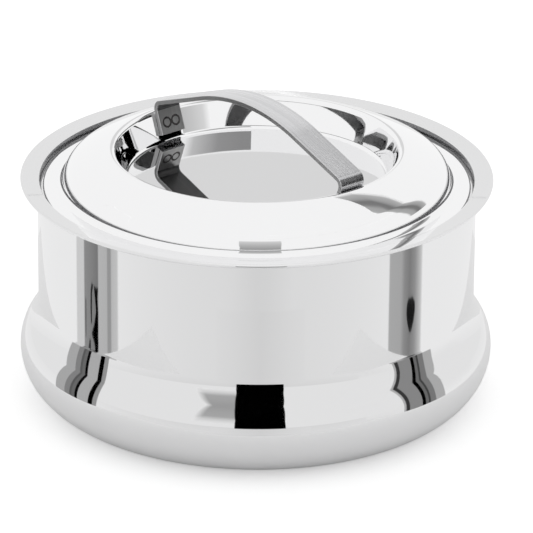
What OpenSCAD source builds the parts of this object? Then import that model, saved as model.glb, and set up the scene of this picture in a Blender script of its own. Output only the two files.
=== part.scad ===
// Insulated chapati casserole: a double-walled steel bowl with a lift-off lid.
// Millimetres, +Z up. The origin is the centre of the underside, where it stands.
// Round pieces are turned from one outline each. A sheet's far side follows the
// same arcs, moved by the sheet's thickness, so every wall keeps one thickness.

/* [Sheet metal] */
// Thickness of the steel of the bowl, the shell and the lid
sheet_t = 0.6; // [0.5:0.05:0.8]
// Thickness of the plate under the base
plate_t = 0.8; // [0.6:0.1:1.2]

/* [Outer shell] */
// Height of the rim above the table
rim_h = 114; // [100:1:140]
// Outer radius of the straight wall
wall_r = 106.8; // [100:0.1:120]
// How far the belly stands out from the wall
belly_proud = 9; // [6:0.1:12]
// Radius of the curve from the foot up to the widest point
belly_low_r = 26.2; // [22:0.2:30]
// Radius of the curve above the widest point
belly_top_r = 22.4; // [16:0.2:28]
// Radius of the hollow between the belly and the wall
belly_hollow_r = 20; // [12:0.5:26]
// Width of the flat ring that it stands on
foot_w = 9; // [6:0.5:14]

/* [Rim] */
// How far the rim stands out from the wall
rim_w = 8.2; // [7:0.1:12]
// Rise of the rim towards its edge, in degrees
rim_slope = 8.5; // [0:0.5:15]
// Radius under the rim where the shell turns out
flare_r = 1.2; // [0.8:0.1:2]
// Inside radius of the bend at the rim's inner edge
rim_bend_in = 0.4; // [0.3:0.1:0.8]
// Width of the hem that folds back under the rim
hem_w = 3; // [2:0.5:4]

/* [Inner bowl] */
// Insulation between the shell's wall and the bowl's wall
wall_foam_t = 9.1; // [7:0.1:12]
// Insulation between the base plate's raised panel and the bowl's floor
floor_foam_t = 8; // [6:0.5:16]
// Radius between the bowl's floor and its wall
bowl_corner_r = 14; // [8:0.5:20]
// Depth of the lid's seat below the rim
seat_depth = 5.3; // [4:0.1:8]
// Inside radius of the bend from the bowl's wall to the seat
seat_bend_in = 0.9; // [0.6:0.1:1.2]
// Radius between the seat and the rim's short wall
seat_corner_r = 0.8; // [0.5:0.1:1]

/* [Base] */
// Rise of the plate's middle panel
panel_rise = 2; // [1.4:0.1:3]
// Width of the plate's edge that lies on the foot ring
plate_lap = 6; // [4:0.5:8]
// Radius of the filling hole in the base plate
base_hole_r = 7; // [5:0.5:9]

/* [Lid] */
// Free gap round the lid's edge
lid_gap = 1.55; // [1:0.05:2.2]
// Width of the lid's flat edge
lid_edge_w = 6.4; // [5.5:0.1:7.5]
// Radius of the hollow at the foot of the lid's dome
step_r = 3.4; // [2.5:0.1:4.5]
// Steepest slope of the dome, at its foot, in degrees
dome_foot_slope = 80; // [70:1:85]
// Radius of the dome's shoulder
shoulder_r = 11.5; // [9:0.5:13]
// Slope where the shoulder meets the crown, in degrees
crown_low_slope = 27.5; // [25:0.5:32]
// Slope where the crown meets the lip, in degrees
crown_top_slope = 18; // [12:0.5:20]
// Radius of the crest of the lip round the recess
crest_r = 71.3; // [68:0.1:74]
// Radius of the lip's roll
lip_r = 3; // [2:0.1:4]

/* [Recess] */
// Depth of the recess below the lip's crest
recess_depth = 15.2; // [13:0.1:17]
// Tilt of the recess wall from upright, in degrees
recess_tilt = 20; // [10:1:25]
// Radius between the recess wall and its floor
recess_corner_r = 2.5; // [2:0.5:5]

/* [Lid liner] */
// Gap between the liner's wall and the bowl's wall
liner_gap = 1; // [0.6:0.1:2]
// Depth of the liner below the seat
liner_depth = 11.7; // [9:0.1:16]
// Radius at the liner's lower edge
liner_corner_r = 6; // [4:0.5:8]
// Radius under the liner's flange
liner_bend_r = 1.2; // [0.8:0.1:1.6]
// Radius of the filling hole in the liner
liner_hole_r = 6; // [4:0.5:8]

/* [Handle] */
// Width of the strap
strap_w = 14.7; // [12:0.1:20]
// Thickness of the strap
strap_t = 2.2; // [1.6:0.1:2.6]
// Height of the strap's top above the lip
strap_rise = 24.2; // [21:0.1:30]
// Radius of the arch along its top face
arch_r = 100; // [80:1:110]
// Slope of the straight stretches beside the arch, in degrees
arch_slope = 20.3; // [18:0.1:22]
// Outer radius of the bend into each tab
strap_bend_r = 5; // [4:0.5:6]
// Gap between a tab's lower corners and the recess wall
tab_gap = 0.05; // [0.03:0.01:0.2]
// Height of the tabs' lower edges above the lower end of the recess wall
tab_clear = 2; // [0.1:0.1:3]
// Radius of a spot weld
weld_r = 2; // [1.5:0.1:2.2]
// Distance between the two welds of a tab
weld_pitch = 5.5; // [5:0.1:6.5]
// Height of the welds above the tab's lower edge, along the tab
weld_lift = 5.7; // [5:0.1:7]
// Outer radius of the ring that the electrode leaves
ring_r = 2.7; // [2.4:0.1:2.8]
// Width of that ring
ring_w = 0.8; // [0.5:0.1:1]
// Depth of that ring
ring_depth = 0.15; // [0.1:0.05:0.3]

/* [Stoppers] */
// How far a stopper's head laps over the sheet
stopper_lap = 2; // [1.5:0.1:3]
// Thickness of a stopper's head
stopper_head_t = 1.2; // [0.8:0.1:1.3]
// Height of the bead that holds a stopper
stopper_bead_t = 1; // [0.8:0.1:2]
// How far the bead stands out beyond the hole
stopper_bead = 0.8; // [0.5:0.1:1.2]
// Radial gap between a stopper and its hole
stopper_gap = 0.1; // [0.05:0.05:0.2]
// Room left in the insulation round a bead
pocket_gap = 0.3; // [0.1:0.1:0.6]

/* [Hidden] */
$fn = 120;
steel = [0.80, 0.81, 0.83];
bright_steel = [0.88, 0.89, 0.90];
satin_steel = [0.66, 0.67, 0.68];
foam = [0.93, 0.86, 0.62];
plug_grey = [0.35, 0.36, 0.38];

// Points along an arc about c, from angle a0 to a1. An arc that carries on from
// the last one leaves out its first point.
function arc(c, r, a0, a1, steps = 12, carries_on = false) =
    [for (i = [(carries_on ? 1 : 0):steps])
        let (a = a0 + (a1 - a0)*i/steps) c + r*[cos(a), sin(a)]];
function backwards(points) = [for (i = [len(points) - 1:-1:0]) points[i]];
function last(points) = points[len(points) - 1];

// Rim: the bowl's sheet lies on the shell's and hems round it, three sheets thick.
hem_r = 1.5*sheet_t;
rim_r = wall_r + rim_w;
hem_centre = [rim_r - hem_r, rim_h - hem_r];
rim_along = [cos(rim_slope), sin(rim_slope)];
function rim_middle_z(r) = hem_centre[1] + (r - hem_centre[0])*tan(rim_slope);

// Outer shell
belly_r = wall_r + belly_proud;
foot_r = belly_r - belly_low_r;
foot_in_r = foot_r - foot_w;
hollow_centre_r = wall_r + belly_hollow_r;
belly_turn = acos((hollow_centre_r - belly_r + belly_top_r)/(belly_top_r + belly_hollow_r));
hollow_z = belly_low_r + (belly_top_r + belly_hollow_r)*sin(belly_turn);
flare_centre = [wall_r + flare_r,
                rim_middle_z(wall_r + flare_r) - (flare_r + sheet_t/2)/cos(rim_slope)];
// From the foot to the top of the belly's hollow, d inside the outer face
function belly_path(d) = concat(
    arc([foot_r, belly_low_r], belly_low_r - d, -90, 0, 16),
    arc([belly_r - belly_top_r, belly_low_r], belly_top_r - d, 0, belly_turn, 10, true),
    arc([hollow_centre_r, hollow_z], belly_hollow_r + d, 180 + belly_turn, 180, 10, true));
function shell_path(d) = let (
    flare = arc(flare_centre, flare_r + d, 180, 90 + rim_slope, 8),
    reach = (hem_centre[0] - last(flare)[0] - d*sin(rim_slope))/cos(rim_slope) - sheet_t/4)
    concat([[foot_in_r, d]], belly_path(d), flare, [last(flare) + reach*rim_along]);

// Inner bowl
bowl_r = wall_r - 2*sheet_t - wall_foam_t;
panel_top_z = sheet_t + panel_rise + plate_t;
bowl_floor_z = panel_top_z + floor_foam_t + sheet_t;
seat_z = rim_h - seat_depth;
rim_in_r = wall_r - 2*sheet_t;
seat_bend_r = seat_bend_in + sheet_t;
rim_bend_r = rim_bend_in + sheet_t;
rim_bend_centre = [rim_in_r + rim_bend_r,
    rim_middle_z(rim_in_r + rim_bend_r) - (rim_bend_r - hem_r)/cos(rim_slope)];
// From the middle of the floor to the lid's seat, d behind the inside face
function bowl_path(d) = concat([[0, bowl_floor_z - d]],
    arc([bowl_r - bowl_corner_r, bowl_floor_z + bowl_corner_r], bowl_corner_r + d, -90, 0),
    arc([bowl_r + seat_bend_r, seat_z - seat_bend_r], seat_bend_r - d, 180, 90, 6));
function rim_path(d) = let (
    hem = arc(hem_centre, hem_r - d, 90 + rim_slope, rim_slope - 90, 10))
    concat(
    arc([rim_in_r - seat_corner_r, seat_z + seat_corner_r], seat_corner_r + d, -90, 0, 6),
    arc(rim_bend_centre, rim_bend_r - d, 180, 90 + rim_slope, 6),
    hem, [last(hem) - hem_w*rim_along]);

// Base plate
plate_r = foot_in_r + plate_lap;
plate_top_z = sheet_t + plate_t;
panel_r = foot_in_r - plate_lap;
panel_low_r = panel_r + panel_rise;

// Lid cover. Its edge lies on the liner's flange, which lies on the bowl's seat.
lid_r = rim_in_r - lid_gap;
lid_edge_z = seat_z + 2*sheet_t;
edge_bend_r = 1.5*sheet_t;
step_centre = [lid_r - lid_edge_w, lid_edge_z + step_r];
foot_normal = [sin(dome_foot_slope), cos(dome_foot_slope)];
shoulder_centre = step_centre - (step_r + shoulder_r)*foot_normal;
crown_foot = shoulder_centre + shoulder_r*[sin(crown_low_slope), cos(crown_low_slope)];
crown_r = (crown_foot[0] - crest_r - lip_r*sin(crown_top_slope))
    /(sin(crown_low_slope) - sin(crown_top_slope));
crown_centre = crown_foot - crown_r*[sin(crown_low_slope), cos(crown_low_slope)];
lip_centre = crown_centre + (crown_r - lip_r)*[sin(crown_top_slope), cos(crown_top_slope)];
crest_z = lip_centre[1] + lip_r;

// Recess in the lid
recess_z = crest_z - recess_depth;
wall_top = lip_centre + lip_r*[-cos(recess_tilt), sin(recess_tilt)];
recess_corner_z = recess_z + recess_corner_r;
wall_low_z = recess_corner_z - recess_corner_r*sin(recess_tilt);
function recess_wall_r(z) = wall_top[0] - (wall_top[1] - z)*tan(recess_tilt);
recess_floor_r = recess_wall_r(wall_low_z) - recess_corner_r*cos(recess_tilt);
function recess_path(d) = concat([[0, recess_z - d]],
    arc([recess_floor_r, recess_corner_z], recess_corner_r + d, -90, -recess_tilt, 8));
// From the middle of the recess over the lip to the dome's foot, d under the face
function dome_path(d) = concat(recess_path(d),
    arc(lip_centre, lip_r - d, 180 - recess_tilt, 90 - crown_top_slope, 12),
    arc(crown_centre, crown_r - d, 90 - crown_top_slope, 90 - crown_low_slope, 6, true),
    arc(shoulder_centre, shoulder_r - d, 90 - crown_low_slope, 90 - dome_foot_slope, 10, true));
// The bend at the lid's outer edge. The liner's flange fits into it.
function edge_bend(d) =
    arc([lid_r - edge_bend_r, lid_edge_z - edge_bend_r], edge_bend_r - d, 90, 0, 5);
function edge_path(d) = concat(
    arc(step_centre, step_r + d, 270 - dome_foot_slope, 270, 8, true),
    edge_bend(d), [[lid_r - d, seat_z]]);

// Lid liner
liner_r = bowl_r - liner_gap;
liner_z = seat_z - liner_depth;
function liner_path(d) = concat(
    arc([liner_r - liner_corner_r, liner_z + liner_corner_r], liner_corner_r - d, -90, 0, 8),
    arc([liner_r + liner_bend_r, seat_z - liner_bend_r], liner_bend_r + d, 180, 90, 6));

// Handle strap. Each tab lies on the recess wall and is held there by its welds.
strap_top_z = crest_z + strap_rise;
tab_tilt = recess_tilt;
tab_normal = [cos(tab_tilt), -sin(tab_tilt)];
tab_up = [sin(tab_tilt), cos(tab_tilt)];
tab_low_z = wall_low_z + tab_clear;
tab_foot = [sqrt(pow(recess_wall_r(tab_low_z), 2) - pow(strap_w/2, 2)) - tab_gap, tab_low_z];
arch_normal = [sin(arch_slope), cos(arch_slope)];
arch_end = [0, strap_top_z - arch_r] + arch_r*arch_normal;
knee_det = arch_normal[0]*tab_normal[1] - arch_normal[1]*tab_normal[0];
arch_reach = arch_normal*arch_end;
tab_reach = tab_normal*tab_foot;
knee = [arch_reach*tab_normal[1] - tab_reach*arch_normal[1],
        tab_reach*arch_normal[0] - arch_reach*tab_normal[0]]/knee_det;
bend_centre = knee - strap_bend_r*(arch_normal + tab_normal)/(1 + arch_normal*tab_normal);
// Right half of the strap's side view, d below its top face
function strap_half(d) = concat(
    arc([0, strap_top_z - arch_r], arch_r - d, 90, 90 - arch_slope, 10),
    arc(bend_centre, strap_bend_r - d, 90 - arch_slope, -tab_tilt, 10),
    [tab_foot - d*tab_normal]);
function mirrored(points) = [for (p = points) [-p[0], p[1]]];
function whole_strap(d) = concat(backwards(mirrored(strap_half(d))),
    [for (i = [1:len(strap_half(d)) - 1]) strap_half(d)[i]]);

// A sheet piece turned round Z, between two faces
module turned_sheet(face, back) {
    rotate_extrude() polygon(concat(face, backwards(back)));
}

// Puts its children at each weld: +Z there points out of the tab into the wall,
// and Z = 0 is the tab's face that lies on the wall.
module at_welds() {
    spot = tab_foot + weld_lift*tab_up;
    for (side = [0, 180])
        rotate([0, 0, side])
            for (y = [-weld_pitch/2, weld_pitch/2])
                translate([spot[0], y, spot[1]])
                    rotate([0, 90 + tab_tilt, 0]) children();
}

// A push-in stopper: its sheet lies between z = 0 and z = sheet
module stopper(hole_r, sheet) {
    translate([0, 0, -stopper_head_t])
        cylinder(h = stopper_head_t, r = hole_r + stopper_lap);
    cylinder(h = sheet, r = hole_r - stopper_gap);
    translate([0, 0, sheet])
        cylinder(h = stopper_bead_t, r = hole_r + stopper_bead);
}

// Room for a stopper's bead in the insulation above the sheet
module bead_pocket(hole_r) {
    cylinder(h = stopper_bead_t + pocket_gap, r = hole_r + stopper_bead + pocket_gap);
}

module outer_shell() {
    color(bright_steel) turned_sheet(shell_path(0), shell_path(sheet_t));
}

module base_plate() {
    color(steel) rotate_extrude() polygon([
        [base_hole_r, sheet_t + panel_rise], [panel_r, sheet_t + panel_rise],
        [panel_low_r, sheet_t], [plate_r, sheet_t], [plate_r, plate_top_z],
        [panel_low_r, plate_top_z], [panel_r, panel_top_z], [base_hole_r, panel_top_z]]);
}

module base_plug() {
    color(plug_grey) translate([0, 0, sheet_t + panel_rise]) stopper(base_hole_r, plate_t);
}

module body_insulation() {
    color(foam) difference() {
        rotate_extrude() polygon(concat(
            [[0, panel_top_z], [panel_r, panel_top_z], [panel_low_r, plate_top_z],
             [plate_r, plate_top_z], [plate_r, sheet_t]],
            belly_path(sheet_t),
            [[wall_r - sheet_t, seat_z - sheet_t]],
            backwards(bowl_path(sheet_t))));
        translate([0, 0, panel_top_z]) bead_pocket(base_hole_r);
    }
}

module inner_bowl() {
    color(bright_steel)
        turned_sheet(concat(bowl_path(0), rim_path(0)),
                     concat(bowl_path(sheet_t), rim_path(sheet_t)));
}

module lid_cover() {
    color(bright_steel)
        turned_sheet(concat(dome_path(0), edge_path(0)),
                     concat(dome_path(sheet_t), edge_path(sheet_t)));
}

module lid_insulation() {
    color(foam) difference() {
        rotate_extrude() polygon(concat(
            dome_path(sheet_t),
            [[liner_r - sheet_t, seat_z - liner_bend_r]],
            backwards(arc([liner_r - liner_corner_r, liner_z + liner_corner_r],
                          liner_corner_r - sheet_t, -90, 0, 8)),
            [[0, liner_z + sheet_t]]));
        translate([0, 0, liner_z + sheet_t]) bead_pocket(liner_hole_r);
    }
}

module lid_liner() {
    color(steel) rotate_extrude() polygon(concat(
        [[liner_hole_r, liner_z]], liner_path(0),
        [[lid_r - sheet_t, seat_z]], backwards(edge_bend(sheet_t)),
        backwards(liner_path(sheet_t)), [[liner_hole_r, liner_z + sheet_t]]));
}

module lid_plug() {
    color(plug_grey) translate([0, 0, liner_z]) stopper(liner_hole_r, sheet_t);
}

module handle_strap() {
    color(satin_steel) difference() {
        rotate([90, 0, 0])
            linear_extrude(height = strap_w, center = true)
                polygon(concat(whole_strap(0), backwards(whole_strap(strap_t))));
        // The ring round each weld, in the face that shows
        at_welds() translate([0, 0, -strap_t - 1]) difference() {
            cylinder(h = 1 + ring_depth, r = ring_r);
            translate([0, 0, -1]) cylinder(h = 3, r = ring_r - ring_w);
        }
    }
}

module handle_welds() {
    color(satin_steel) intersection() {
        at_welds() cylinder(h = strap_t, r = weld_r);
        // Finely turned, because only a sliver of this wall is left on a weld
        rotate_extrude($fn = 720)
            polygon(concat(recess_path(0), [wall_top, [0, wall_top[1]]]));
    }
}

outer_shell();
base_plate();
base_plug();
body_insulation();
inner_bowl();
lid_cover();
lid_insulation();
lid_liner();
lid_plug();
handle_strap();
handle_welds();
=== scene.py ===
# %% [markdown]
# # An insulated chapati casserole
# The real object is a round steel casserole with two walls: a bowl inside a shell, with foam
# between them. A domed lid lies loose in the rim and carries a bent strap as its handle. Nearly
# all of it is polished sheet, so its look is made of reflections. That asks for exact curves,
# a few good finishes and a studio worth reflecting.
#
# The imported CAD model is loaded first. It fixes the size and place of every piece.

# %% Load the frame
import math
import bpy
from mathutils import Matrix, Vector


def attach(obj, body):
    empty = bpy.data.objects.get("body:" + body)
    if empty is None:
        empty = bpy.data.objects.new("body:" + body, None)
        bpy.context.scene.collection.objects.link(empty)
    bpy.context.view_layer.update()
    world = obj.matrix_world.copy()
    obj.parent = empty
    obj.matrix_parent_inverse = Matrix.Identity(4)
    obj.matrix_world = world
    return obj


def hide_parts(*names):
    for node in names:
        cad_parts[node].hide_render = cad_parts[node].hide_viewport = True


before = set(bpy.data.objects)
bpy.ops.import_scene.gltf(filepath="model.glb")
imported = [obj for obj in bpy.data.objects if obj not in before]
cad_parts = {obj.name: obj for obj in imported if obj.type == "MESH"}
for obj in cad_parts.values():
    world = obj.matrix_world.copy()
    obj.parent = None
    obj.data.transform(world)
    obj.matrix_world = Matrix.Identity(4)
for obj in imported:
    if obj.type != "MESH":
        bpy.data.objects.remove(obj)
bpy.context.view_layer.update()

# %% [markdown]
# ## The camera
# The photo was taken from far away with a long lens: the near and far sides of the rim are
# almost the same size. The camera is placed by an angle round the object, an angle above it and
# a distance from the middle of the rim, and then turned until that point falls on its pixel.

# %% Place the camera
MM = 0.001
PHOTO_SIDE = 533
RIM_CENTRE = Vector((0, 0, 0.114))
RIM_PIXEL = (256.42, 173.0)
CAMERA_AROUND = math.radians(48.75)
CAMERA_ABOVE = math.radians(21.86)
CAMERA_ROLL = math.radians(0.4)
FOCAL_PIXELS = 4800
PIXELS_PER_MM = 2.0565
SENSOR_MM = 36
FARTHEST_SEEN = 50

to_camera = Vector((
    math.sin(CAMERA_AROUND) * math.cos(CAMERA_ABOVE),
    -math.cos(CAMERA_AROUND) * math.cos(CAMERA_ABOVE),
    math.sin(CAMERA_ABOVE)))
camera_data = bpy.data.cameras.new("photo_camera")
camera_data.sensor_width = SENSOR_MM
camera_data.lens = SENSOR_MM * FOCAL_PIXELS / PHOTO_SIDE
camera_data.clip_end = FARTHEST_SEEN
camera = bpy.data.objects.new("photo_camera", camera_data)
bpy.context.scene.collection.objects.link(camera)
middle = (PHOTO_SIDE - 1) / 2
turn_right = math.atan((middle - RIM_PIXEL[0]) / FOCAL_PIXELS)
turn_down = math.atan((middle - RIM_PIXEL[1]) / FOCAL_PIXELS)
facing_rim = to_camera.to_track_quat("Z", "Y").to_matrix().to_4x4()
camera.matrix_world = (
    Matrix.Translation(RIM_CENTRE + to_camera * FOCAL_PIXELS / PIXELS_PER_MM * MM)
    @ facing_rim
    @ Matrix.Rotation(CAMERA_ROLL, 4, "Z")
    @ Matrix.Rotation(-turn_right, 4, "Y")
    @ Matrix.Rotation(-turn_down, 4, "X"))
bpy.context.scene.camera = camera
print("camera lens in mm:", round(camera_data.lens, 1))

# %% [markdown]
# ## Turned sheet metal
# The bowl, the shell and the lid are pressed and spun, so each is one outline turned round Z.
# The outline could be a curve with a Screw modifier, but a mirror shows every small error in the
# normals. Here each point of an outline carries the direction that its surface faces, worked out
# from the arc that it lies on. The mesh gets these as its normals, and the reflections come out
# as smooth as the real ones. Outlines are in millimetres, and go round with the metal on the left.

# %% Outlines made of arcs
def arc(centre, radius, start, end, steps=12):
    """Points of an arc about centre, from one angle to another, with the way each one faces."""
    turn = 0 if end > start else 180
    points = []
    for step in range(steps + 1):
        angle = start + (end - start) * step / steps
        across = centre[0] + radius * math.cos(math.radians(angle))
        up = centre[1] + radius * math.sin(math.radians(angle))
        points.append((across, up, angle + turn))
    return points


def flipped(points):
    """The same points as the other side of a sheet: in reverse, facing the other way."""
    return [(across, up, facing + 180) for across, up, facing in reversed(points)]


def moved(point, distance, angle):
    """A point moved by a distance in the direction of an angle."""
    return (
        point[0] + distance * math.cos(math.radians(angle)),
        point[1] + distance * math.sin(math.radians(angle)),
        point[2])


# %% Make a piece from points and faces
def finished_piece(name, vertices, normals, faces, materials):
    """A smooth piece whose surface faces the given way at each point."""
    mesh = bpy.data.meshes.new(name)
    mesh.from_pydata(vertices, [], faces)
    mesh.shade_smooth()
    mesh.normals_split_custom_set_from_vertices(normals)
    for material in materials:
        mesh.materials.append(material)
    piece = bpy.data.objects.new(name, mesh)
    bpy.context.scene.collection.objects.link(piece)
    print(name, "has", len(vertices), "points")
    return piece


# %% Turn an outline into a piece
ROUND_STEPS = 240
ON_AXIS = 1e-6


def turned(name, outline, material):
    """A closed outline turned round Z, with exact normals."""
    rows = []
    vertices = []
    normals = []
    for across, up, facing in outline:
        out = math.cos(math.radians(facing))
        rise = math.sin(math.radians(facing))
        if across < ON_AXIS:
            rows.append([len(vertices)] * ROUND_STEPS)
            vertices.append((0, 0, up * MM))
            normals.append((0, 0, math.copysign(1, rise)))
            continue
        rows.append(list(range(len(vertices), len(vertices) + ROUND_STEPS)))
        for step in range(ROUND_STEPS):
            angle = (step + 0.5) * math.tau / ROUND_STEPS
            vertices.append((
                across * MM * math.cos(angle), across * MM * math.sin(angle), up * MM))
            normals.append((out * math.cos(angle), out * math.sin(angle), rise))
    faces = []
    for row, next_row in zip(rows, rows[1:] + rows[:1]):
        for step in range(ROUND_STEPS):
            after = (step + 1) % ROUND_STEPS
            corners = (row[step], row[after], next_row[after], next_row[step])
            face = tuple(dict.fromkeys(corners))
            if len(face) > 2:
                faces.append(face)
    return finished_piece(name, vertices, normals, faces, [material])


# %% [markdown]
# ## Finishes
# Polished stainless steel is a metal with very low roughness. It is never perfect: the sheet
# keeps faint waves from the press, and the wheel leaves hair-thin rings. Both could be modelled,
# but they are far too shallow for that, so they are bump. Depths are in millimetres.

# %% Node helpers
def material_with(name):
    """A new node material, with its node tree and its main shader."""
    material = bpy.data.materials.new(name)
    material.use_nodes = True
    nodes = material.node_tree
    return material, nodes, nodes.nodes["Principled BSDF"]


def node(nodes, kind, **settings):
    """A new node with its settings and its inputs filled in."""
    made = nodes.nodes.new(kind)
    for key, value in settings.items():
        if hasattr(made, key):
            setattr(made, key, value)
        else:
            made.inputs[key.replace("_", " ")].default_value = value
    return made


# %% Polished steel
WAVES_PER_METRE = 22
RINGS_PER_METRE = 1400


def polished_steel(name, colour, roughness, wave, ring):
    """Mirror steel: faint waves in the sheet and fine rings from the polishing wheel."""
    material, nodes, shader = material_with(name)
    shader.inputs["Base Color"].default_value = (*colour, 1)
    shader.inputs["Metallic"].default_value = 1
    shader.inputs["Roughness"].default_value = roughness
    place = node(nodes, "ShaderNodeTexCoord")
    waves = node(nodes, "ShaderNodeTexNoise", Scale=WAVES_PER_METRE, Detail=1)
    nodes.links.new(place.outputs["Object"], waves.inputs["Vector"])
    waved = node(nodes, "ShaderNodeBump", Strength=1, Distance=wave * MM)
    nodes.links.new(waves.outputs["Fac"], waved.inputs["Height"])
    level = node(nodes, "ShaderNodeVectorMath", operation="MULTIPLY")
    level.inputs[1].default_value = (1, 1, 0)
    nodes.links.new(place.outputs["Object"], level.inputs[0])
    radius = node(nodes, "ShaderNodeVectorMath", operation="LENGTH")
    nodes.links.new(level.outputs["Vector"], radius.inputs[0])
    rings = node(nodes, "ShaderNodeTexNoise", noise_dimensions="1D", Scale=RINGS_PER_METRE,
                 Detail=2)
    nodes.links.new(radius.outputs["Value"], rings.inputs["W"])
    ringed = node(nodes, "ShaderNodeBump", Strength=1, Distance=ring * MM)
    nodes.links.new(rings.outputs["Fac"], ringed.inputs["Height"])
    nodes.links.new(waved.outputs["Normal"], ringed.inputs["Normal"])
    nodes.links.new(ringed.outputs["Normal"], shader.inputs["Normal"])
    print("polished finish:", name)
    return material


mirror_steel = polished_steel(
    "mirror_steel", (0.89, 0.89, 0.895), roughness=0.03, wave=0.02, ring=0.0002)
# Dark steel for the groove round the lid: its dark colour is painted shade.
groove_steel_painted_shade = polished_steel(
    "groove_steel_painted_shade", (0.22, 0.22, 0.225), roughness=0.20, wave=0.02, ring=0.002)
pressed_steel = polished_steel(
    "pressed_steel", (0.74, 0.745, 0.75), roughness=0.16, wave=0.04, ring=0.006)

# %% [markdown]
# The strap isn't polished but brushed with a belt, which leaves long scratches along it. An
# anisotropic shader would give the sheen, but no single scratches, and these show in the photo.
# A noise that is stretched along X gives them in colour, roughness and bump at once. The same
# steel is duller where the belt doesn't reach: on the tabs, the sawn edges and the underside,
# whose near-black colour is painted shade.

# %% Brushed steel
GRAIN = (8, 900, 8)
GRAIN_DARKEST = 0.66
GRAIN_LIGHTEST = 1.26
ROUGHNESS_SPREAD = 0.08
SCRATCH_DEPTH = 0.04


def brushed_steel(name, colour, roughness):
    """Satin steel: scratches that run along X, some of them deeper than the rest."""
    material, nodes, shader = material_with(name)
    shader.inputs["Metallic"].default_value = 1
    place = node(nodes, "ShaderNodeTexCoord")
    stretched = node(nodes, "ShaderNodeMapping")
    stretched.inputs["Scale"].default_value = GRAIN
    nodes.links.new(place.outputs["Object"], stretched.inputs["Vector"])
    lines = node(nodes, "ShaderNodeTexNoise", Scale=1, Detail=4, Roughness=0.7)
    nodes.links.new(stretched.outputs["Vector"], lines.inputs["Vector"])
    shade = node(nodes, "ShaderNodeMapRange", To_Min=GRAIN_DARKEST, To_Max=GRAIN_LIGHTEST)
    nodes.links.new(lines.outputs["Fac"], shade.inputs["Value"])
    tint = node(nodes, "ShaderNodeMix", data_type="RGBA", blend_type="MULTIPLY")
    tint.inputs["Factor"].default_value = 1
    tint.inputs["A"].default_value = (*colour, 1)
    nodes.links.new(shade.outputs["Result"], tint.inputs["B"])
    nodes.links.new(tint.outputs["Result"], shader.inputs["Base Color"])
    rough = node(nodes, "ShaderNodeMapRange", To_Min=roughness - ROUGHNESS_SPREAD,
                 To_Max=roughness + ROUGHNESS_SPREAD)
    nodes.links.new(lines.outputs["Fac"], rough.inputs["Value"])
    nodes.links.new(rough.outputs["Result"], shader.inputs["Roughness"])
    bump = node(nodes, "ShaderNodeBump", Strength=1, Distance=SCRATCH_DEPTH * MM)
    nodes.links.new(lines.outputs["Fac"], bump.inputs["Height"])
    nodes.links.new(bump.outputs["Normal"], shader.inputs["Normal"])
    print("brushed finish:", name)
    return material


satin_steel = brushed_steel("satin_steel", (0.66, 0.66, 0.67), 0.26)
dull_steel = brushed_steel("dull_steel", (0.42, 0.42, 0.42), 0.38)
# The underside's near-black colour is painted shade.
underside_steel_painted_shade = brushed_steel("underside_steel_painted_shade", (0.11, 0.11, 0.11), 0.42)
sawn_steel = brushed_steel("sawn_steel", (0.33, 0.33, 0.33), 0.40)
weld_mark = brushed_steel("weld_mark", (0.08, 0.075, 0.075), 0.45)

# %% [markdown]
# ## The body
# The shell is a drawn cup, spun out at its foot into a belly and turned out at its top. It could
# be one surface with a Solidify modifier, but that thins the metal in tight bends. So each side
# of the sheet is written as arcs about the same centres, and the thickness stays true.

# %% Values of the body
SHEET = 0.6
PLATE = 0.8
RIM_HEIGHT = 114
WALL_R = 106.8
RIM_W = 8.2
RIM_SLOPE = 8.5
HEM_R = 1.5 * SHEET
HEM_CENTRE = (WALL_R + RIM_W - HEM_R, RIM_HEIGHT - HEM_R)
BELLY_OUT = 9
BELLY_R = WALL_R + BELLY_OUT
BELLY_LOW_R = 26.2
BELLY_TOP_R = 22.4
HOLLOW_R = 20
FOOT_R = BELLY_R - BELLY_LOW_R
FOOT_W = 9
FLARE_R = 1.2
SHELL_EDGE_W = 5.6


def rim_middle(across):
    """Height of the middle of the rim's three sheets at a radius."""
    return HEM_CENTRE[1] + (across - HEM_CENTRE[0]) * math.tan(math.radians(RIM_SLOPE))


hollow_centre_r = WALL_R + HOLLOW_R
belly_turn = math.degrees(math.acos(
    (hollow_centre_r - BELLY_R + BELLY_TOP_R) / (BELLY_TOP_R + HOLLOW_R)))
hollow_z = BELLY_LOW_R + (BELLY_TOP_R + HOLLOW_R) * math.sin(math.radians(belly_turn))
flare_z = rim_middle(WALL_R + FLARE_R) - (FLARE_R + SHEET / 2) / math.cos(
    math.radians(RIM_SLOPE))
print("height where the wall starts in mm:", round(hollow_z, 2))


# %% The outer shell
def shell_side(depth):
    """The shell from its foot to its edge under the rim, at a depth below its outer face."""
    low = arc((FOOT_R, BELLY_LOW_R), BELLY_LOW_R - depth, -90, 0, steps=40)
    belly = arc((BELLY_R - BELLY_TOP_R, BELLY_LOW_R), BELLY_TOP_R - depth, 0, belly_turn,
                steps=24)
    hollow = arc((hollow_centre_r, hollow_z), HOLLOW_R + depth, 180 + belly_turn, 180, steps=20)
    flare = arc((WALL_R + FLARE_R, flare_z), FLARE_R + depth, 180, 90 + RIM_SLOPE)
    edge = moved(flare[-1], SHELL_EDGE_W, RIM_SLOPE)
    return low + belly[1:] + hollow[1:] + flare + [edge]


foot_end = arc((FOOT_R - FOOT_W + SHEET / 2, SHEET / 2), SHEET / 2, 90, 270, steps=8)
shell = turned("shell", foot_end + shell_side(0) + flipped(shell_side(SHEET)), mirror_steel)
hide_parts("outer_shell")
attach(shell, "body")

# %% [markdown]
# The bowl is a second cup. Near its top the sheet turns out into a seat for the lid, goes up a
# short wall and out over the rim, and is folded round the shell's edge as a hem. The fold joins
# the two cups without a weld. The outline follows the sheet through every one of these bends.

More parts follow.
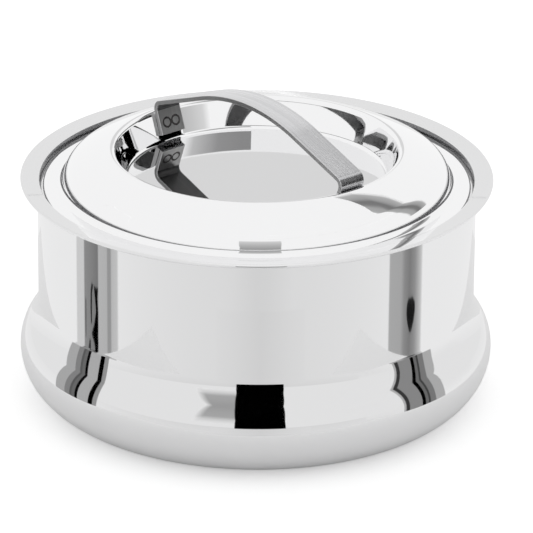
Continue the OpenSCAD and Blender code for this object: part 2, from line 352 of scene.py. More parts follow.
# %% The bowl and its rim
FOAM_W = 9.1
FOAM_UNDER = 8
PANEL_RISE = 2
SEAT_DEPTH = 5.3
BOWL_R = WALL_R - 2 * SHEET - FOAM_W
BOWL_CORNER_R = 14
PANEL_TOP_Z = SHEET + PANEL_RISE + PLATE
BOWL_FLOOR_Z = PANEL_TOP_Z + FOAM_UNDER + SHEET
SEAT_Z = RIM_HEIGHT - SEAT_DEPTH
SEAT_BEND_R = 0.9 + SHEET
SEAT_CORNER_R = 0.8
RIM_IN_R = WALL_R - 2 * SHEET
RIM_BEND_R = 0.4 + SHEET
HEM_W = 3
rim_bend_z = rim_middle(RIM_IN_R + RIM_BEND_R) - (RIM_BEND_R - HEM_R) / math.cos(
    math.radians(RIM_SLOPE))


def bowl_side(depth):
    """The bowl from the middle of its floor over the rim to the hem, behind its inner face."""
    middle_point = [(0, BOWL_FLOOR_Z - depth, -90)]
    corner = arc((BOWL_R - BOWL_CORNER_R, BOWL_FLOOR_Z + BOWL_CORNER_R),
                 BOWL_CORNER_R + depth, -90, 0, steps=24)
    seat_bend = arc((BOWL_R + SEAT_BEND_R, SEAT_Z - SEAT_BEND_R), SEAT_BEND_R - depth, 180, 90)
    seat_corner = arc((RIM_IN_R - SEAT_CORNER_R, SEAT_Z + SEAT_CORNER_R),
                      SEAT_CORNER_R + depth, -90, 0)
    rim_bend = arc((RIM_IN_R + RIM_BEND_R, rim_bend_z), RIM_BEND_R - depth, 180,
                   90 + RIM_SLOPE)
    hem = arc(HEM_CENTRE, HEM_R - depth, 90 + RIM_SLOPE, RIM_SLOPE - 90, steps=20)
    hem_edge = moved(hem[-1], -HEM_W, RIM_SLOPE)
    return middle_point + corner + seat_bend + seat_corner + rim_bend + hem + [hem_edge]


bowl = turned("bowl", bowl_side(SHEET) + flipped(bowl_side(0)), mirror_steel)
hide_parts("inner_bowl")
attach(bowl, "body")

# %% [markdown]
# The lid leaves a narrow groove inside the rim, and on the real object it is the darkest line
# round the lid. Its faces get a duller steel, and its dark colour is painted shade from the deep
# gap between the lid and the bowl.

# %% The groove round the lid
GROOVE_IN_R = RIM_IN_R - 2.2
GROOVE_OUT_R = RIM_IN_R + 0.2
GROOVE_LOW_Z = SEAT_Z - 0.5
# Painted shade: the groove's faces get the dark steel.
bowl.data.materials.append(groove_steel_painted_shade)
painted_shade_faces = 0
for face in bowl.data.polygons:
    across = math.hypot(face.center.x, face.center.y) / MM
    if GROOVE_IN_R < across < GROOVE_OUT_R and face.center.z > GROOVE_LOW_Z * MM:
        face.material_index = 1
        painted_shade_faces += 1
print("faces in the groove:", painted_shade_faces)

# %% [markdown]
# ## The lid
# The lid's top is one pressed sheet. From its edge it rises over a step to a shallow dome, rolls
# over a lip and drops into a round recess, which leaves room for the fingers. It could be drawn
# freehand as a curve. Here every arc meets the next one in the same direction, so each centre
# follows from the one before it, and the reflections run on without a kink.

# %% Values of the lid
LID_GAP = 1.55
LID_R = RIM_IN_R - LID_GAP
LID_EDGE_Z = SEAT_Z + 2 * SHEET
EDGE_BEND_R = 1.5 * SHEET
STEP_W = 6.4
STEP_R = 3.4
STEP_CENTRE = (LID_R - STEP_W, LID_EDGE_Z + STEP_R, 0)
FOOT_SLOPE = 80
SHOULDER_R = 11.5
CROWN_LOW = 27.5
CROWN_TOP = 18
CREST_R = 71.3
LIP_R = 3
shoulder_centre = moved(STEP_CENTRE, -STEP_R - SHOULDER_R, 90 - FOOT_SLOPE)
crown_foot = moved(shoulder_centre, SHOULDER_R, 90 - CROWN_LOW)
crown_r = (crown_foot[0] - CREST_R - LIP_R * math.sin(math.radians(CROWN_TOP))) / (
    math.sin(math.radians(CROWN_LOW)) - math.sin(math.radians(CROWN_TOP)))
crown_centre = moved(crown_foot, -crown_r, 90 - CROWN_LOW)
lip_centre = moved(crown_centre, crown_r - LIP_R, 90 - CROWN_TOP)
crest_z = lip_centre[1] + LIP_R
print("crest of the lip in mm:", round(crest_z, 3))

# %% Values of the recess
RECESS_DEPTH = 15.2
RECESS_TILT = 20
RECESS_CORNER_R = 2.5
recess_z = crest_z - RECESS_DEPTH
wall_top = moved(lip_centre, LIP_R, 180 - RECESS_TILT)
recess_corner_z = recess_z + RECESS_CORNER_R
wall_low_z = recess_corner_z - RECESS_CORNER_R * math.sin(math.radians(RECESS_TILT))


def recess_wall_r(height):
    """Radius of the recess's wall at a height."""
    return wall_top[0] - (wall_top[1] - height) * math.tan(math.radians(RECESS_TILT))


recess_floor_r = recess_wall_r(wall_low_z) - RECESS_CORNER_R * math.cos(
    math.radians(RECESS_TILT))
print("radius of the recess's floor in mm:", round(recess_floor_r, 2))

# %% [markdown]
# One outline could make the whole cover. It is cut at the crest of the lip, where the two halves
# meet without a mark, because the recess and the dome each get their own light to reflect, and
# light is given to whole pieces.


# %% The lid's cover
def recess_side(depth):
    """The cover from the middle of its recess to the crest of its lip, under its upper face."""
    middle_point = [(0, recess_z - depth, -90)]
    corner = arc((recess_floor_r, recess_corner_z), RECESS_CORNER_R + depth, -90,
                 -RECESS_TILT, steps=20)
    lip = arc(lip_centre, LIP_R - depth, 180 - RECESS_TILT, 90, steps=18)
    return middle_point + corner + lip


def dome_side(depth):
    """The cover from the crest of its lip to its edge, under its upper face."""
    lip = arc(lip_centre, LIP_R - depth, 90, 90 - CROWN_TOP, steps=6)
    crown = arc(crown_centre, crown_r - depth, 90 - CROWN_TOP, 90 - CROWN_LOW)
    shoulder = arc(shoulder_centre, SHOULDER_R - depth, 90 - CROWN_LOW, 90 - FOOT_SLOPE,
                   steps=24)
    step = arc(STEP_CENTRE, STEP_R + depth, 270 - FOOT_SLOPE, 270, steps=16)
    edge = arc((LID_R - EDGE_BEND_R, LID_EDGE_Z - EDGE_BEND_R), EDGE_BEND_R - depth, 90, 0)
    foot = (LID_R - depth, SEAT_Z, 180)
    return lip + crown[1:] + shoulder[1:] + step[1:] + edge + [foot]


recess = turned("lid_recess_sheet", recess_side(SHEET) + flipped(recess_side(0)), mirror_steel)
dome = turned("lid_dome_sheet", dome_side(SHEET) + flipped(dome_side(0)), mirror_steel)
for sheet in (recess, dome):
    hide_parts("lid_cover")
    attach(sheet, "lid")

# %% [markdown]
# A pan closes the lid from below and keeps the foam in. Its flange is what rests on the seat, and
# its wall drops into the bowl, so that the lid can't slide off. It has the same kind of outline,
# open in the middle for the filling hole, and the plainer finish of a sheet from the press.

# %% The liner under the lid
LINER_R = BOWL_R - 1
LINER_DEPTH = 11.7
LINER_Z = SEAT_Z - LINER_DEPTH
LINER_CORNER_R = 6
LINER_BEND_R = 1.2
LINER_HOLE_R = 6
FLANGE_GAP = 0.05


def liner_side(depth):
    """The liner from its filling hole to its flange, above its lower face."""
    hole = [(LINER_HOLE_R, LINER_Z + depth, -90)]
    corner = arc((LINER_R - LINER_CORNER_R, LINER_Z + LINER_CORNER_R),
                 LINER_CORNER_R - depth, -90, 0, steps=16)
    bend = arc((LINER_R + LINER_BEND_R, SEAT_Z - LINER_BEND_R), LINER_BEND_R + depth, 180, 90)
    flange = [(LID_R - SHEET - FLANGE_GAP, SEAT_Z + depth, 270)]
    return hole + corner + bend + flange


liner = turned("lid_liner_pan", liner_side(0) + flipped(liner_side(SHEET)), pressed_steel)
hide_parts("lid_liner")
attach(liner, "lid")

# %% [markdown]
# ## The handle
# The handle is one strip of steel, sawn off, brushed along its length and bent over a form. Its
# ends are tabs that lie against the wall of the recess. A curve with a bevel could make it, but
# the bends need one radius on each face. So the side view is worked out as arcs, as for the lid,
# and a section with broken edges is carried along it.

# %% The line of the handle
STRAP_W = 14.7
STRAP_T = 2.2
ARCH_R = 100
ARCH_RISE = 24.2
ARCH_SLOPE = 20.3
ARCH_FACING = 90 - ARCH_SLOPE
TAB_FACING = -RECESS_TILT
STRAP_BEND_R = 5
TAB_GAP = 0.05
TAB_CLEAR = 2
arch_centre = (0, crest_z + ARCH_RISE - ARCH_R, 0)
arch_end = moved(arch_centre, ARCH_R, ARCH_FACING)
tab_low_z = wall_low_z + TAB_CLEAR
tab_foot = (
    math.sqrt(recess_wall_r(tab_low_z) ** 2 - (STRAP_W / 2) ** 2) - TAB_GAP,
    tab_low_z,
    TAB_FACING)


def reach(point, angle):
    """How far a point lies in the direction of an angle."""
    return point[0] * math.cos(math.radians(angle)) + point[1] * math.sin(math.radians(angle))


def crossing(reach_a, angle_a, reach_b, angle_b):
    """Where two lines cross, each given by its distance from the origin and its facing."""
    a = math.radians(angle_a)
    b = math.radians(angle_b)
    return (
        (reach_a * math.sin(b) - reach_b * math.sin(a)) / math.sin(b - a),
        (reach_b * math.cos(a) - reach_a * math.cos(b)) / math.sin(b - a))


bend_centre = crossing(
    reach(arch_end, ARCH_FACING) - STRAP_BEND_R, ARCH_FACING,
    reach(tab_foot, TAB_FACING) - STRAP_BEND_R, TAB_FACING)
bend_start = moved((*bend_centre, TAB_FACING), STRAP_BEND_R, TAB_FACING)
tab_length = math.dist(tab_foot[:2], bend_start[:2])
print("length of a tab below its bend in mm:", round(tab_length, 2))

# %% The strap's path
TAB_STEPS = 48
tab_path = [moved(tab_foot, tab_length * step / TAB_STEPS, TAB_FACING + 90)
            for step in range(TAB_STEPS)]
half_path = (
    tab_path + arc(bend_centre, STRAP_BEND_R, TAB_FACING, ARCH_FACING, steps=20)
    + arc(arch_centre, ARCH_R, ARCH_FACING, 90, steps=24))
strap_path = half_path + [(-x, z, 180 - facing) for x, z, facing in reversed(half_path[:-1])]
last = len(strap_path) - 1
print("steps along the strap:", last)

# %% The strap's section
EDGE_R = 0.35
EDGE_STEPS = 4
FACE_STEPS = 56
half_width = STRAP_W / 2 - EDGE_R
section = []
for side, depth, start in (
        (half_width, EDGE_R, 90), (half_width, STRAP_T - EDGE_R, 0),
        (-half_width, STRAP_T - EDGE_R, -90), (-half_width, EDGE_R, -180)):
    for step in range(EDGE_STEPS + 1):
        angle = math.radians(start - 90 * step / EDGE_STEPS)
        section.append((
            side + EDGE_R * math.cos(angle), depth - EDGE_R * math.sin(angle),
            math.sin(angle), math.cos(angle)))
    if start == 0:
        for step in range(1, FACE_STEPS):
            section.append(
                (half_width - 2 * half_width * step / FACE_STEPS, STRAP_T, -1, 0))
print("points round the section:", len(section))

# %% [markdown]
# Two spot welds hold each tab. The electrodes have pressed a ring each into the face that shows,
# and burnt it dark. A ring could be bump, but it catches the light at its edges in the photo. So
# the tab's face has a fine grid there, and the ring is sunk into it as a soft-edged groove.

# %% The weld marks
WELD_LIFT = 5.7
WELD_HALF_PITCH = 2.75
RING_MIDDLE_R = 2.3
RING_HALF_W = 0.5
RING_DEPTH = 0.15
SMALL_STEP = 0.01


def ring_distance(lift, side):
    """Distance of a place on a tab from the middle of the nearer ring's groove."""
    away = math.hypot(lift - WELD_LIFT, abs(side) - WELD_HALF_PITCH)
    return away - RING_MIDDLE_R


def groove(lift, side):
    """Depth of the weld marks at a place on a tab's inner face."""
    away = ring_distance(lift, side)
    if abs(away) > RING_HALF_W:
        return 0
    return RING_DEPTH * (0.5 + 0.5 * math.cos(math.pi * away / RING_HALF_W))


def groove_slope(lift, side):
    """How steeply the groove falls along the tab and across it."""
    along = groove(lift + SMALL_STEP, side) - groove(lift - SMALL_STEP, side)
    across = groove(lift, side + SMALL_STEP) - groove(lift, side - SMALL_STEP)
    return along / (2 * SMALL_STEP), across / (2 * SMALL_STEP)


# %% The strap's points
def strap_points():
    """The strap's points, and the way its surface faces at each."""
    vertices = []
    normals = []
    for number, (x, z, facing) in enumerate(strap_path):
        out = Vector((math.cos(math.radians(facing)), 0, math.sin(math.radians(facing))))
        up = Vector((-out.z, 0, out.x))
        if number > last / 2:
            up = -up
        lift = min(number, last - number) * tab_length / TAB_STEPS
        for side, depth, share_out, share_side in section:
            normal = out * share_out + Vector((0, share_side, 0))
            if share_out == -1 and lift < tab_length:
                along, across = groove_slope(lift, side)
                depth -= groove(lift, side)
                normal += up * along + Vector((0, across, 0))
            vertices.append((Vector((x, side, z)) - out * depth) * MM)
            normals.append(normal.normalized())
    return vertices, normals


# %% The strap's faces and their finishes
SATIN, TAB_FACE, SAWN_EDGE, WELD_RING, UNDERSIDE = range(5)
EDGE_SHARE = 0.3


def finish_of(number, place, after):
    """The finish between two points of the section, on one step of the path."""
    lift = (min(number, last - number - 1) + 0.5) * tab_length / TAB_STEPS
    side = (section[place][0] + section[after][0]) / 2
    if section[place][2] == -1 and section[after][2] == -1:
        # The underside gets the near-black steel: painted shade.
        if lift >= tab_length:
            return UNDERSIDE
        return WELD_RING if abs(ring_distance(lift, side)) < RING_HALF_W else TAB_FACE
    on_edge = section[place][3] * section[after][3] > EDGE_SHARE
    return SAWN_EDGE if on_edge else SATIN


def strap_faces():
    """The strap's faces, with a finish for each. The last two close its ends."""
    faces = []
    finishes = []
    count = len(section)
    for number in range(last):
        for place in range(count):
            after = (place + 1) % count
            faces.append((
                number * count + place, number * count + after,
                (number + 1) * count + after, (number + 1) * count + place))
            finishes.append(finish_of(number, place, after))
    faces.append(tuple(range(count))[::-1])
    faces.append(tuple(range(last * count, (last + 1) * count)))
    return faces, finishes + [SATIN, SATIN]


vertices, normals = strap_points()
faces, finishes = strap_faces()
strap = finished_piece("handle_bar", vertices, normals, faces,
                       [satin_steel, dull_steel, sawn_steel, weld_mark, underside_steel_painted_shade])
for face, finish in zip(strap.data.polygons, finishes):
    face.material_index = finish
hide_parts("handle_strap")
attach(strap, "lid")

# %% [markdown]
# ## What the steel hides
# The foam, its two stoppers and the plate under the foot are simple shapes, and the CAD model has
# them right. They stay as they are and only get a finish. Rigid foam is matt, pale yellow and full
# of small cells. The stoppers are moulded plastic with a fine grain.

# %% Foam and plastic
def grained(name, dark, light, roughness, grain, depth):
    """A matt material whose colour and surface vary with a fine noise."""
    material, nodes, shader = material_with(name)
    shader.inputs["Roughness"].default_value = roughness
    place = node(nodes, "ShaderNodeTexCoord")
    cells = node(nodes, "ShaderNodeTexNoise", Scale=grain, Detail=4)
    nodes.links.new(place.outputs["Object"], cells.inputs["Vector"])
    shade = node(nodes, "ShaderNodeMix", data_type="RGBA")
    shade.inputs["A"].default_value = (*dark, 1)
    shade.inputs["B"].default_value = (*light, 1)
    nodes.links.new(cells.outputs["Fac"], shade.inputs["Factor"])
    nodes.links.new(shade.outputs["Result"], shader.inputs["Base Color"])
    bump = node(nodes, "ShaderNodeBump", Strength=1, Distance=depth * MM)
    nodes.links.new(cells.outputs["Fac"], bump.inputs["Height"])
    nodes.links.new(bump.outputs["Normal"], shader.inputs["Normal"])
    return material


foam = grained("foam", (0.70, 0.58, 0.30), (0.95, 0.88, 0.62),
               roughness=0.9, grain=700, depth=0.3)
stopper = grained("stopper", (0.07, 0.075, 0.08), (0.10, 0.105, 0.11),
                  roughness=0.5, grain=2500, depth=0.05)

# %% Finish the pieces that stay
for name, finish in (
        ("body_insulation", foam), ("lid_insulation", foam), ("base_plug", stopper),
        ("lid_plug", stopper), ("base_plate", pressed_steel), ("handle_welds", dull_steel)):
    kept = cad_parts[name]
    for place in range(len(kept.material_slots)):
        kept.material_slots[place].material = finish
    print(name, "keeps its CAD shape, with", finish.name)

# %% [markdown]
# ## The studio
# Polished steel shows the whole room. The photo was taken in a white tent, with a small white
# table under the casserole. The tent's front has a tall gap for the camera, and its frame stands
# on both sides. All of them show in the steel as dark bands, which give the curves their edges.
#
# Here the tent is a circle of glowing cloths, one metre from the casserole, and only reflections
# see it. Each point of a cloth has its own level, from 0 for black to 1 for white.

# %% Glowing cloths
TENT_R = 1000


def tent_point(azimuth, height, distance):
    """A point on the tent: azimuth in degrees to the camera's right, the rest in millimetres."""
    angle = CAMERA_AROUND + math.radians(azimuth)
    return (distance * MM * math.sin(angle), -distance * MM * math.cos(angle), height * MM)


def glow(name, see_through):
    """A material that shines as brightly as the mesh's own "level" says, and isn't lit."""
    material = bpy.data.materials.new(name)
    material.use_nodes = True
    nodes = material.node_tree
    nodes.nodes.remove(nodes.nodes["Principled BSDF"])
    level = node(nodes, "ShaderNodeAttribute", attribute_name="level")
    light = node(nodes, "ShaderNodeEmission")
    nodes.links.new(level.outputs["Fac"], light.inputs["Strength"])
    shown = light.outputs["Emission"]
    if see_through:
        clear = node(nodes, "ShaderNodeBsdfTransparent")
        both = node(nodes, "ShaderNodeAddShader")
        nodes.links.new(shown, both.inputs[0])
        nodes.links.new(clear.outputs["BSDF"], both.inputs[1])
        shown = both.outputs["Shader"]
    nodes.links.new(shown, nodes.nodes["Material Output"].inputs["Surface"])
    return material


cloth_glow = glow("tent_cloth", False)
veil_glow = glow("tent_veil", True)


# %% Put a cloth on the stage
def stage_piece(name, vertices, faces, material):
    """A piece of the studio, which isn't part of the object."""
    mesh = bpy.data.meshes.new(name)
    mesh.from_pydata(vertices, [], faces)
    mesh.materials.append(material)
    piece = bpy.data.objects.new(name, mesh)
    bpy.context.scene.collection.objects.link(piece)
    return piece


def tent_mesh(name, cloths, distance, seen_by=()):
    """Cloths as one mesh, each from rows of (azimuth, height, level), for reflections only."""
    vertices = []
    faces = []
    levels = []
    for rows in cloths:
        width = len(rows[0])
        for low in range(len(vertices), len(vertices) + width * (len(rows) - 1), width):
            faces += [(i, i + 1, i + width + 1, i + width) for i in range(low, low + width - 1)]
        for azimuth, height, level in (corner for row in rows for corner in row):
            vertices.append(tent_point(azimuth, height, distance))
            levels += (level, level, level, 1)
    piece = stage_piece(name, vertices, faces, veil_glow if seen_by else cloth_glow)
    colours = piece.data.color_attributes.new("level", "FLOAT_COLOR", "POINT")
    colours.data.foreach_set("color", levels)
    piece.visible_camera = False
    piece.visible_diffuse = False
    piece.visible_shadow = False
    piece.visible_volume_scatter = False
    if seen_by:
        viewers = bpy.data.collections.new(name)
        for viewer in seen_by:
            viewers.objects.link(viewer)
        piece.light_linking.receiver_collection = viewers
    print(name, "has", len(faces), "faces")


# %% [markdown]
# ### Different views for different pieces
# The real room is close to the casserole, so the shell and the lid see the same thing in
# different places. One tent at a distance can't give both of them their view. So a dark thing
# hangs twice: once as a black cloth, and in front of it as one thin veil of light for each
# viewer. A veil lights only its own viewer, by light linking. It adds what that viewer sees
# there, and where the thing shouldn't show, it adds the level that the tent has behind it.
#
# Veils that overlapped would add up, so cloths that cross hang in two layers, far and near.

# %% The tent's own level
VIEWERS = {
    "body": (shell,), "rim": (bowl,), "dome": (dome,), "recess": (recess,), "strap": (strap,)}
UPPER_LEVEL = 0.84
LOW_TOP = 20
LOW_LEVEL = 0.77
SIDE_GAIN = 0.13
FRONT_LOSS = 0.07
FRONT_MIDDLE = 2
FRONT_HALF_W = 16
TOP_LOSS = 0.04
TOP_FADE = 300


def low_level(azimuth, height):
    """The tent's lower part: lighter at the sides, darker in front and towards its top."""
    round_to_side = min(1, 1 - math.cos(math.radians(azimuth)))
    in_front = max(0, 1 - abs(azimuth - FRONT_MIDDLE) / FRONT_HALF_W)
    near_top = max(0, min(1, (height + TOP_FADE) / TOP_FADE))
    return LOW_LEVEL + SIDE_GAIN * round_to_side - FRONT_LOSS * in_front - TOP_LOSS * near_top


def usual_level(viewer, azimuth, height):
    """What a viewer would see here if no cloth hung there."""
    if height < LOW_TOP:
        return low_level(azimuth, height)
    return UPPER_LEVEL if viewer in ("body", "rim") else 1


print("level in front of the camera:", round(low_level(FRONT_MIDDLE, 0), 2))

# %% Hang a dark cloth with its veils
LAYERS = {"far": TENT_R, "near": TENT_R - 100}
dark_cloths = {layer: [] for layer in LAYERS}
veils = {(layer, viewer): [] for layer in LAYERS for viewer in VIEWERS}


def seen_rows(rows, viewer, shown):
    """What a viewer sees of a cloth: rows of its own, one level all over, or the usual."""
    if isinstance(shown, list):
        return shown
    return [[(azimuth, height, usual_level(viewer, azimuth, height) if shown is None else shown)
             for azimuth, height, level in row] for row in rows]


def hang(rows, layer="far", **seen):
    """A dark cloth, and what each viewer sees in its place."""
    dark_cloths[layer].append(
        [[(azimuth, height, 0) for azimuth, height, level in row] for row in rows])
    for viewer in VIEWERS:
        veils[layer, viewer].append(seen_rows(rows, viewer, seen.get(viewer)))


# %% [markdown]
# ### The frame of the tent
# The belly shows the frame's two sides as upright bands of grey and black. Each band is a pair of
# azimuths with a level, put where the belly then shows it in the right place. The real bands bend
# away from the middle, above and below the table's height, so the frame leans out on a parabola.

# %% The frame, seen in the bulge
FRAME_HEIGHTS = range(-270, 1031, 50)
LEAN_FROM = 60
LEFT_LEAN = 2.2e-5
RIGHT_LEAN = 1.13e-5
RIGHT_LEAN_GAIN = 9e-7
RIGHT_START = 72
FRAME_IN_STRAP = 0.03
LEFT_BANDS = [
    (-102.7, -96, 0.42), (-96, -92.5, 0.24), (-92.5, -91, 0.11), (-91, -89, 0.15),
    (-89, -87.2, 0), (-87.2, -80.4, 0.44), (-80.4, -77.7, 0), (-77.7, -75.2, 0.31)]
RIGHT_BANDS = [
    (69.8, 71, 0.45), (71, 73, 0.04), (73, 80.3, 0.26), (80.3, 82.3, 0), (82.3, 84, 0.15),
    (84, 85.2, 0.06), (85.2, 88.6, 0.20), (88.6, 94.6, 0.44)]


def left_lean(azimuth, height):
    """Where a line on the frame's left side is at a height."""
    return azimuth - LEFT_LEAN * (height - LEAN_FROM) ** 2


def right_lean(azimuth, height):
    """The same on the right side, where the outer lines lean more than the inner ones."""
    lean = RIGHT_LEAN + RIGHT_LEAN_GAIN * (azimuth - RIGHT_START)
    return azimuth + lean * (height - LEAN_FROM) ** 2


for leaning, bands, seen_in_recess in ((left_lean, LEFT_BANDS, None), (right_lean, RIGHT_BANDS, 0)):
    for start, end, level in bands:
        band = [[(leaning(start, height), height, level), (leaning(end, height), height, level)]
                for height in FRAME_HEIGHTS]
        hang(band, body=band, recess=seen_in_recess, strap=FRAME_IN_STRAP)
print("bands of the frame:", len(LEFT_BANDS) + len(RIGHT_BANDS))

# %% [markdown]
# The upright wall looks lower down than the belly does, and sees the frame's foot with the cloth
# wrapped round it. That is softer: one flap on each side, whose level changes smoothly from edge
# to edge, and a few black folds in front of it, like drops with an uneven outline.

# %% The frame, seen in the wall
FLAP_HEIGHTS = (-270, -400)
LEFT_FLAP = [
    (-104, 0.86), (-103, 0.64), (-97.6, 0.64), (-96.8, 0.28), (-92, 0.25), (-87, 0.20),
    (-86.2, 0.50), (-80.6, 0.48), (-80, 0.33), (-78, 0.33), (-77.4, 0.52), (-73.8, 0.58),
    (-72.8, 0.86)]
RIGHT_FLAP = [
    (69.6, 0.86), (70.4, 0.43), (77.5, 0.41), (80, 0.28), (83.5, 0.22), (87, 0.30),
    (89, 0.42), (91.4, 0.60), (92.6, 0.86)]
FOLDS = [
    (0, [(-285, -89.6, -86.4), (-293, -88.8, -87), (-303, -88, -86.4), (-314, -89.5, -86.5),
         (-321, -91.4, -86.6), (-327, -89.3, -86.4), (-338, -88.2, -87.2)]),
    (0.03, [(-284, -91.4, -89.7), (-290, -92, -90.8), (-303, -92.2, -91), (-314, -91.8, -91)]),
    (0.04, [(-326, -93, -92), (-334, -94, -92), (-347, -93.6, -92.2)]),
    (0.16, [(-298, -96.4, -95.2), (-312, -96.4, -95.2), (-326, -96.2, -95.4)]),
    (0.01, [(-289, 82.4, 85.4), (-294, 81.4, 87.2), (-300, 81.2, 87.2), (-307, 82, 86.4),
            (-314, 83.4, 84.8)])]
FOLDS_R = TENT_R - 60
for levels_across in (LEFT_FLAP, RIGHT_FLAP):
    flap = [[(azimuth, height, level) for azimuth, level in levels_across]
            for height in FLAP_HEIGHTS]
    hang(flap, body=flap)
tent_mesh("tent_folds", [
    [[(left, height, level), (right, height, level)] for height, left, right in outline]
    for level, outline in FOLDS], FOLDS_R)

# %% [markdown]
# ### The gap for the camera
# The gap is right in front, and widens upwards. The belly shows its lower part as the black
# square, the dome shows only a short and faint grey piece of it, and the rim doesn't show its
# upper part at all. Left of the gap the cloth is in shadow.

# %% The gap and the shadow beside it
GAP_HEIGHTS = range(-140, 2861, 100)
GAP_LEFT = -9
GAP_RIGHT = 13.3
LEFT_SPREAD = 3.2e-3
RIGHT_SPREAD = 3.6e-3
SPREADS_FROM = 300
RIM_SEES_TO = 300
DOME_SEES_FROM = 60
DOME_SEES_TO = 900
DOME_GAP_LEVEL = 0.26
DOME_GAP_FADE = 0.0005
NO_SHADOW = 0.86
SHADOW_START = -28
SHADOW_FULL = (-24, -18)
SHADOW_LEVELS = ((150, 0.86), (300, 0.66), (430, 0.42), (1000, 0.36), (2600, 0.36))


def gap_left(height):
    """Azimuth of the gap's left edge at a height."""
    return GAP_LEFT - LEFT_SPREAD * max(height - SPREADS_FROM, 0)


def gap_right(height):
    """Azimuth of the gap's right edge at a height."""
    return GAP_RIGHT + RIGHT_SPREAD * max(height - SPREADS_FROM, 0)


def gap_in_rim(height):
    """The rim sees the lower part of the gap only."""
    return 0 if height < RIM_SEES_TO else UPPER_LEVEL


def gap_in_dome(height):
    """The dome sees the gap only from the table upwards, and fainter the higher it is."""
    if height < DOME_SEES_FROM or height > DOME_SEES_TO:
        return 1
    return DOME_GAP_LEVEL + DOME_GAP_FADE * height


def gap_rows(level):
    """The gap from its foot to its top, with a level for each height."""
    return [[(gap_left(height), height, level(height)), (gap_right(height), height, level(height))]
            for height in GAP_HEIGHTS]


hang(gap_rows(gap_in_rim), body=0, rim=gap_rows(gap_in_rim), dome=gap_rows(gap_in_dome))
shadow = [[(SHADOW_START, height, NO_SHADOW)]
          + [(azimuth, height, level) for azimuth in (*SHADOW_FULL, gap_left(height))]
          for height, level in SHADOW_LEVELS]
hang(shadow, body=shadow)
print("rows of the gap:", len(GAP_HEIGHTS))

# %% [markdown]
# ### Things beside the lid
# The dome has one grey streak on its right, with darker lines along it: a stand or a cable, seen
# small and drawn out. The recess, like a bowl, gathers more: a card that greys its floor, a soft
# patch beside the tab and a grey band at its back. The strap's ends are dark from both sides.

# %% Dark things beside the lid
STREAK_IN_STRAP = 0.2
BESIDE_STRAP = 0.05
STREAK = ((0, 1), (0.1, 0.45), (0.3, 0.40), (0.45, 0.22), (0.58, 0.20), (0.7, 0.36), (0.9, 0.48),
          (1, 1))
STREAK_EDGES = (
    (300, 96, 114), (450, 98, 118), (600, 100, 123), (850, 106, 133), (1000, 114, 146),
    (1150, 126, 156), (1300, 134, 158))
streak = [[(left + (right - left) * share, height, level) for share, level in STREAK]
          for height, left, right in STREAK_EDGES]
hang(streak, "near", dome=streak, recess=0, strap=STREAK_IN_STRAP)
for left, right in ((50, 69.4), (95.4, 118)):
    edges = [[(left, height, 0), (right, height, 0)] for height in (-120, LOW_TOP, 290)]
    hang(edges, "near", strap=BESIDE_STRAP)
for heights, levels_across in (
        ((400, 700), ((165, 0.74), (195, 0.74))),
        ((300, 460), ((42, 1), (48, 0.72), (58, 0.62), (69, 0.55))),
        ((1100, 2250), ((8, 0.30), (20, 0.30), (50, 0.34), (80, 0.6), (92, 1)))):
    card = [[(azimuth, height, level) for azimuth, level in levels_across] for height in heights]
    hang(card, "near", recess=card)
print("near cloths:", len(dark_cloths["near"]))

# %% Hang the cloths and their veils
VEIL_GAP = 1
VEIL_STEP = 0.5
for layer, distance in LAYERS.items():
    tent_mesh("tent_dark_" + layer, dark_cloths[layer], distance)
    for number, (viewer, pieces) in enumerate(VIEWERS.items()):
        tent_mesh(f"tent_{layer}_for_{viewer}", veils[layer, viewer],
                  distance - VEIL_GAP - VEIL_STEP * number, pieces)

# %% [markdown]
# ### The tent itself
# Behind the cloths the tent closes all round. Its upper part is a little less than white, and a
# veil brings it up to white for the lid, which lies open to the lamps above. In front, near the
# casserole, a low pale ledge hides the gap's foot from the belly.

# %% The lower and the upper part of the tent
LEDGE_R = 250
LEDGE_HEIGHTS = (-80, 25)
LEDGE_SHADE_Z = -250
TENT_TOP = 3500
BEHIND_CLOTHS = 60
ROUND_TENT = range(-180, 181, 6)
tent_mesh("tent_ledge", [[[(azimuth, height, low_level(azimuth, LEDGE_SHADE_Z))
                           for azimuth in range(-16, 21, 6)]
                          for height in LEDGE_HEIGHTS]], LEDGE_R)
low_part = [[(azimuth, height, low_level(azimuth, height)) for azimuth in ROUND_TENT]
            for height in (LOW_TOP, -100, -200, -300, -700)]
upper_part = [[(azimuth, height, UPPER_LEVEL) for azimuth in ROUND_TENT]
              for height in (LOW_TOP, TENT_TOP)]
lid_veil = [[(azimuth, height, 1 - level) for azimuth, height, level in row]
            for row in upper_part]
tent_mesh("tent_round", [low_part, upper_part], TENT_R + BEHIND_CLOTHS)
tent_mesh("tent_round_lid", [lid_veil], TENT_R + BEHIND_CLOTHS - VEIL_GAP,
          (dome, recess, strap))

# %% [markdown]
# ## Floor, table and light
# The casserole stands on a white table that runs into the white background, with a soft shadow
# where they meet. The floor is a plain pale grey. To the camera it also glows, which brings it up
# to white and leaves the shadow. To a mirror it hardly glows, so that the belly gets its shade
# from below. The steel sees only the table, a square of 38 cm, as it does in the photo.

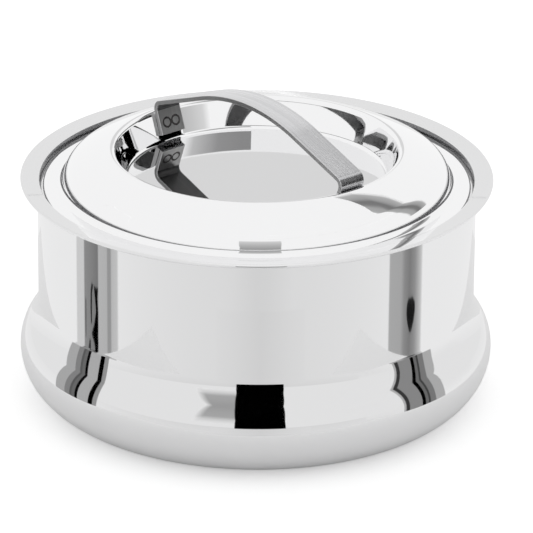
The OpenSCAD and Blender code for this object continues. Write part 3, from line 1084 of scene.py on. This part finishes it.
# %% The floor's finish
FLOOR_COLOUR = (0.8, 0.8, 0.8, 1)
CAMERA_GLOW = 0.38
MIRROR_GLOW = 0.02
floor_material, floor_nodes, floor_shader = material_with("studio_floor")
floor_shader.inputs["Base Color"].default_value = FLOOR_COLOUR
floor_shader.inputs["Roughness"].default_value = 0.9
floor_shader.inputs["Specular IOR Level"].default_value = 0
floor_shader.inputs["Emission Color"].default_value = (1, 1, 1, 1)
paths = node(floor_nodes, "ShaderNodeLightPath")
glossy_part = node(floor_nodes, "ShaderNodeMath", operation="MULTIPLY")
glossy_part.inputs[1].default_value = MIRROR_GLOW
floor_nodes.links.new(paths.outputs["Is Glossy Ray"], glossy_part.inputs[0])
glow_level = node(floor_nodes, "ShaderNodeMath", operation="MULTIPLY_ADD")
glow_level.inputs[1].default_value = CAMERA_GLOW
floor_nodes.links.new(paths.outputs["Is Camera Ray"], glow_level.inputs[0])
floor_nodes.links.new(glossy_part.outputs["Value"], glow_level.inputs[2])
floor_nodes.links.new(glow_level.outputs["Value"], floor_shader.inputs["Emission Strength"])
print("glow of the floor for the camera:", CAMERA_GLOW)

# %% Floor and table
FLOOR_HALF = 4
TABLE_HALF = 0.19
FLOOR_GAP = 0.0001


def square(half):
    """Corners of a square round the middle, a hair below the casserole's foot."""
    return [(-half, -half, -FLOOR_GAP), (half, -half, -FLOOR_GAP),
            (half, half, -FLOOR_GAP), (-half, half, -FLOOR_GAP)]


table = stage_piece("studio_table", square(TABLE_HALF), [(0, 1, 2, 3)], floor_material)
studio_floor = stage_piece(
    "studio_floor", square(TABLE_HALF) + square(FLOOR_HALF),
    [(4, 5, 1, 0), (5, 6, 2, 1), (6, 7, 3, 2), (7, 4, 0, 3)], floor_material)
studio_floor.visible_glossy = False
for flat_piece in (table, studio_floor):
    flat_piece.rotation_euler = (0, 0, CAMERA_AROUND)
print("table's side in metres:", 2 * TABLE_HALF)

# %% [markdown]
# The lamps shine through the tent's cloth, so light comes evenly from everywhere. A white world
# does the same without a lamp. Its strength of 1 shows a colour about as it is written.

# %% World
world = bpy.data.worlds.new("studio")
bpy.context.scene.world = world
world.use_nodes = True
world.node_tree.nodes["Background"].inputs["Color"].default_value = (1, 1, 1, 1)
world.node_tree.nodes["Background"].inputs["Strength"].default_value = 1
bpy.context.scene.view_settings.view_transform = "Standard"
print("world strength: 1")
